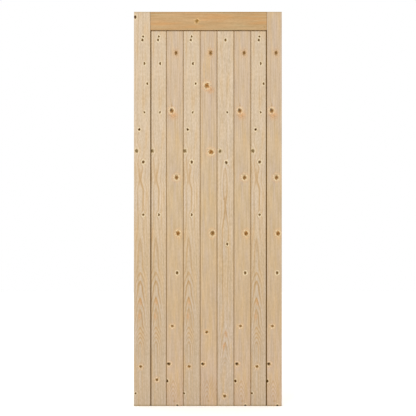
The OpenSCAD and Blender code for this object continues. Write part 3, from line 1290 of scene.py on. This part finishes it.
@dataclass
class WoodScrews(Assembly):
    """Countersunk screws with a cross recess, driven from the back, in millimetres.

    Attributes:
        head_radius: Radius of the head.
        shank_radius: Radius over the thread.
        core_radius: Radius at the root of the thread.
        pitch: Distance between two turns of the thread.
        ridge_share: Half the width of the thread's ridge at its foot, as a share of the pitch.
        point: Length over which the thread runs out to the point.
        recess_length: Length of the slots of the recess.
        recess_width: Width of the slots.
        recess_depth: Depth of the slots.
        recess_wall: Width over which the slots' walls slope.
        quadrant: Angles of the columns in a quarter turn, close together beside a slot.
        face_rows: Rows of points on the face of the head.
        turn_rows: Rows of points in one turn of the thread.
        smooth_deg: Largest angle in degrees between faces that are shaded as one.
        tip_reach: Distance from the deepest point within which a point belongs to a tip.
        tip_digits: Decimals of a metre to which the places of tips are rounded.
    """

    head_radius: float = 4.0
    shank_radius: float = 2.0
    core_radius: float = 1.35
    pitch: float = 1.9
    ridge_share: float = 0.3
    point: float = 4.0
    recess_length: float = 4.4
    recess_width: float = 1.0
    recess_depth: float = 1.5
    recess_wall: float = 0.3
    quadrant: tuple[float, ...] = (0.0, 8.0, 16.0, 28.0, 45.0, 62.0, 74.0, 82.0)
    face_rows: int = 16
    turn_rows: int = 5
    smooth_deg: float = 35.0
    tip_reach: float = 0.05
    tip_digits: int = 5

    def build(self) -> None:
        """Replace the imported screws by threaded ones."""
        finish = ZincFinish().material()
        for timber in ("middle_ledge", "bottom_ledge", "upper_brace", "lower_brace"):
            node = f"{timber}_screws"
            low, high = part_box(node)
            places = self._places(self.solids[node].data, low.y)
            mesh = self._mesh(f"{timber}_wood_screws", places, high.y, (high.y - low.y) / MM)
            mesh.materials.append(finish)
            screws = bpy.data.objects.new(mesh.name, mesh)
            bpy.context.scene.collection.objects.link(screws)
            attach(screws, BODY)
            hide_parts(node)
            LOGGER.info("%s: %d screws", mesh.name, len(places))

    def _places(self, solid: bpy.types.Mesh, point_y: float) -> np.ndarray:
        """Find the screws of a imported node.

        Args:
            solid: Mesh of the node.
            point_y: Depth of the screws' points.

        Returns:
            X and Z of each screw in metres, where its point touches that depth.
        """
        points = np.empty(3 * len(solid.vertices), np.float32)
        solid.vertices.foreach_get("co", points)
        points = points.reshape(-1, 3)
        tips = points[points[:, 1] < point_y + self.tip_reach * MM]
        return np.unique(np.round(tips[:, ::2].astype(float), self.tip_digits), axis=0)

    def _surface(self, length: float) -> np.ndarray:
        """Work out one screw as rows of points round its axis.

        The face of the head is a height field over rings of growing radius, level but for a cross with
        sloping walls. Behind it the radius shrinks along a cone, and then it is the core plus a ridge
        that climbs one pitch a turn, until both run out at the point.

        Args:
            length: Length of the screw in millimetres.

        Returns:
            Points as rows by columns by (sideways, below the head, up), in millimetres.
        """
        quarter = np.arange(4)[:, None] * 90.0
        angle = np.radians(quarter + np.array(self.quadrant)).reshape(1, -1)
        round_axis = np.zeros_like(angle)
        neck = self.head_radius - self.shank_radius

        face_radius = np.linspace(0.0, self.head_radius, self.face_rows + 1)[1:, None] + round_axis
        sideways = np.abs(face_radius * np.cos(angle))
        up = np.abs(face_radius * np.sin(angle))
        # Half of a slope lies inside the slot and half outside
        beside = (self.recess_width / 2 - np.minimum(sideways, up)) / self.recess_wall
        before = (self.recess_length / 2 - np.maximum(sideways, up)) / self.recess_wall
        inside = np.clip(beside + 0.5, 0.0, 1.0) * np.clip(before + 0.5, 0.0, 1.0)
        face_depth = self.recess_depth * inside

        rows = int(self.turn_rows * (length - neck) / self.pitch)
        depth = np.linspace(neck, length, rows, endpoint=False)[:, None] + round_axis
        turn = (depth / self.pitch - angle / (2.0 * np.pi)) % 1.0
        ridge = np.clip(1.0 - np.abs(turn - 0.5) / self.ridge_share, 0.0, 1.0)
        below_neck = np.clip((depth - neck) / self.pitch, 0.0, 1.0)
        core = self.shank_radius + (self.core_radius - self.shank_radius) * below_neck
        taper = np.clip((length - depth) / self.point, 0.0, 1.0)
        radius = taper * (core + (self.shank_radius - core) * ridge)

        radius = np.concatenate([face_radius, radius])
        below = np.concatenate([face_depth, depth])
        return np.stack([radius * np.cos(angle), below, radius * np.sin(angle)], axis=-1)

    def _mesh(self, name: str, places: np.ndarray, head_y: float, length: float) -> bpy.types.Mesh:
        """Build the screws of one timber as a mesh.

        Args:
            name: Name of the mesh.
            places: X and Z of each screw in metres.
            head_y: Y of the heads' faces in metres.
            length: Length of a screw in millimetres.

        Returns:
            Closed screws, each a grid of quads with a fan of triangles at the head and at the point.
        """
        surface = self._surface(length)
        rows, columns = surface.shape[:2]
        ends = np.array([[0.0, self.recess_depth, 0.0], [0.0, length, 0.0]])
        screw = np.concatenate([ends[:1], surface.reshape(-1, 3), ends[1:]]) * (MM, -MM, MM)
        centres = np.stack([places[:, 0], np.full(len(places), head_y), places[:, 1]], axis=-1)
        points = centres[:, None] + screw

        index = 1 + np.arange(rows * columns).reshape(rows, columns)
        onward = np.roll(index, -1, axis=1)
        quads = np.stack([index[:-1], onward[:-1], onward[1:], index[1:]], axis=-1).reshape(-1, 4)
        last = np.full(columns, rows * columns + 1)
        head_fan = np.stack([np.zeros(columns, int), onward[0], index[0]], axis=-1)
        point_fan = np.stack([index[-1], onward[-1], last], axis=-1)
        first = np.arange(len(places))[:, None, None] * len(screw)
        parts = (quads, head_fan, point_fan)
        faces = [(part + first).reshape(-1, part.shape[1]).tolist() for part in parts]

        mesh = bpy.data.meshes.new(name)
        mesh.from_pydata(points.reshape(-1, 3).tolist(), [], sum(faces, []))
        mesh.shade_smooth()
        mesh.set_sharp_from_angle(angle=math.radians(self.smooth_deg))
        return mesh


@dataclass
class Studio:
    """Floor, light and camera for the door seen straight from the front.

    Attributes:
        lens_mm: Focal length of the camera.
        sensor_mm: Width of its sensor.
        photo_px: Width and height of the photograph.
        mm_per_px: Size of a pixel at the face of the door.
        door_centre_px: Where the middle of the door lies in the photograph.
        floor_m: Side of the floor.
        floor_points: Points along a side of the floor.
        floor_colour: Colour of its paint.
        floor_roughness: Roughness of its paint.
        floor_glow: Strength of a glow that keeps the floor as white as the backdrop.
        lamp_m: Side of the square lamp.
        lamp_watts: Power of the lamp.
        lamp_place: Where the lamp hangs.
        lamp_tilt: Angle in degrees from straight down to its beam.
        lamp_turn: Angle in degrees by which its beam turns about the vertical.
    """

    lens_mm: float = 100.0
    sensor_mm: float = 36.0
    photo_px: float = 416.0
    mm_per_px: float = 5.153
    door_centre_px: tuple[float, float] = (207.86, 208.97)
    floor_m: float = 16.0
    floor_points: int = 5
    floor_colour: str = "#f2f1ee"
    floor_roughness: float = 0.9
    floor_glow: float = 0.22
    lamp_m: float = 2.4
    lamp_watts: float = 60.0
    lamp_place: Triple = (-1.6, -3.6, 3.6)
    lamp_tilt: float = 52.0
    lamp_turn: float = -24.0

    def build(self, low: np.ndarray, high: np.ndarray) -> None:
        """Set up the stage around the door.

        Args:
            low: Lowest corner of the door.
            high: Highest corner of the door.
        """
        self._floor()
        self._light()
        self._camera(low, high)

    def _floor(self) -> None:
        """Lay a pale floor: a flat grid with both sides even."""
        side = np.linspace(-self.floor_m / 2, self.floor_m / 2, self.floor_points)
        x, y = np.meshgrid(side, side)
        points = np.stack([x, y, np.zeros_like(x)], axis=-1).reshape(-1, 3)
        index = np.arange(points.shape[0]).reshape(x.shape)
        corners = (index[:-1, :-1], index[:-1, 1:], index[1:, 1:], index[1:, :-1])
        mesh = bpy.data.meshes.new("floor")
        mesh.from_pydata(points.tolist(), [], np.stack(corners, axis=-1).reshape(-1, 4).tolist())
        floor = bpy.data.objects.new("floor", mesh)
        bpy.context.scene.collection.objects.link(floor)
        # Matt paint scatters the light evenly, with no gloss
        paint = bpy.data.materials.new("pale_matt_floor_paint")
        paint.use_nodes = True
        shader = paint.node_tree.nodes["Principled BSDF"]
        shader.inputs["Base Color"].default_value = linear(self.floor_colour)
        shader.inputs["Roughness"].default_value = self.floor_roughness
        shader.inputs["Emission Color"].default_value = linear("#ffffff")
        shader.inputs["Emission Strength"].default_value = self.floor_glow
        floor.data.materials.append(paint)
        floor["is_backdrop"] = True

    def _light(self) -> None:
        """Wrap the door in even white light, with one large soft lamp above the camera."""
        scene = bpy.context.scene
        scene.view_settings.view_transform = "Standard"
        world = bpy.data.worlds.new("white_studio")
        world.use_nodes = True
        background = world.node_tree.nodes["Background"]
        background.inputs["Color"].default_value = linear("#ffffff")
        background.inputs["Strength"].default_value = 1.0
        scene.world = world

        lamp = bpy.data.lights.new("soft_key", "AREA")
        lamp.shape = "SQUARE"
        lamp.size = self.lamp_m
        lamp.energy = self.lamp_watts
        key = bpy.data.objects.new("soft_key", lamp)
        key.location = self.lamp_place
        key.rotation_euler = (math.radians(self.lamp_tilt), 0.0, math.radians(self.lamp_turn))
        scene.collection.objects.link(key)

    def _camera(self, low: np.ndarray, high: np.ndarray) -> None:
        """Stand the camera where the photograph's frame fits the door's face.

        Args:
            low: Lowest corner of the door.
            high: Highest corner of the door.
        """
        frame_m = self.photo_px * self.mm_per_px * MM
        distance = frame_m * self.lens_mm / self.sensor_mm
        centre = (low + high) / 2
        off_x = (self.photo_px / 2 - self.door_centre_px[0]) * self.mm_per_px * MM
        off_z = (self.door_centre_px[1] - self.photo_px / 2) * self.mm_per_px * MM
        lens = bpy.data.cameras.new("camera")
        lens.lens = self.lens_mm
        lens.sensor_width = self.sensor_mm
        camera = bpy.data.objects.new("camera", lens)
        camera.location = (centre[0] + off_x, low[1] - distance, centre[2] + off_z)
        camera.rotation_euler = (math.pi / 2, 0.0, 0.0)
        bpy.context.scene.collection.objects.link(camera)
        bpy.context.scene.camera = camera


def main() -> None:
    """Build the scene."""
    logging.basicConfig(level=logging.INFO, format="%(message)s")
    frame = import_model()
    solid_box = [list(corner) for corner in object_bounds()]
    for assembly in (OuterFrame, Boarding, Bracing, WoodScrews):
        assembly(frame["nodes"]).build()
    Studio().build(*map(np.array, solid_box))


if __name__ == "__main__":
    main()
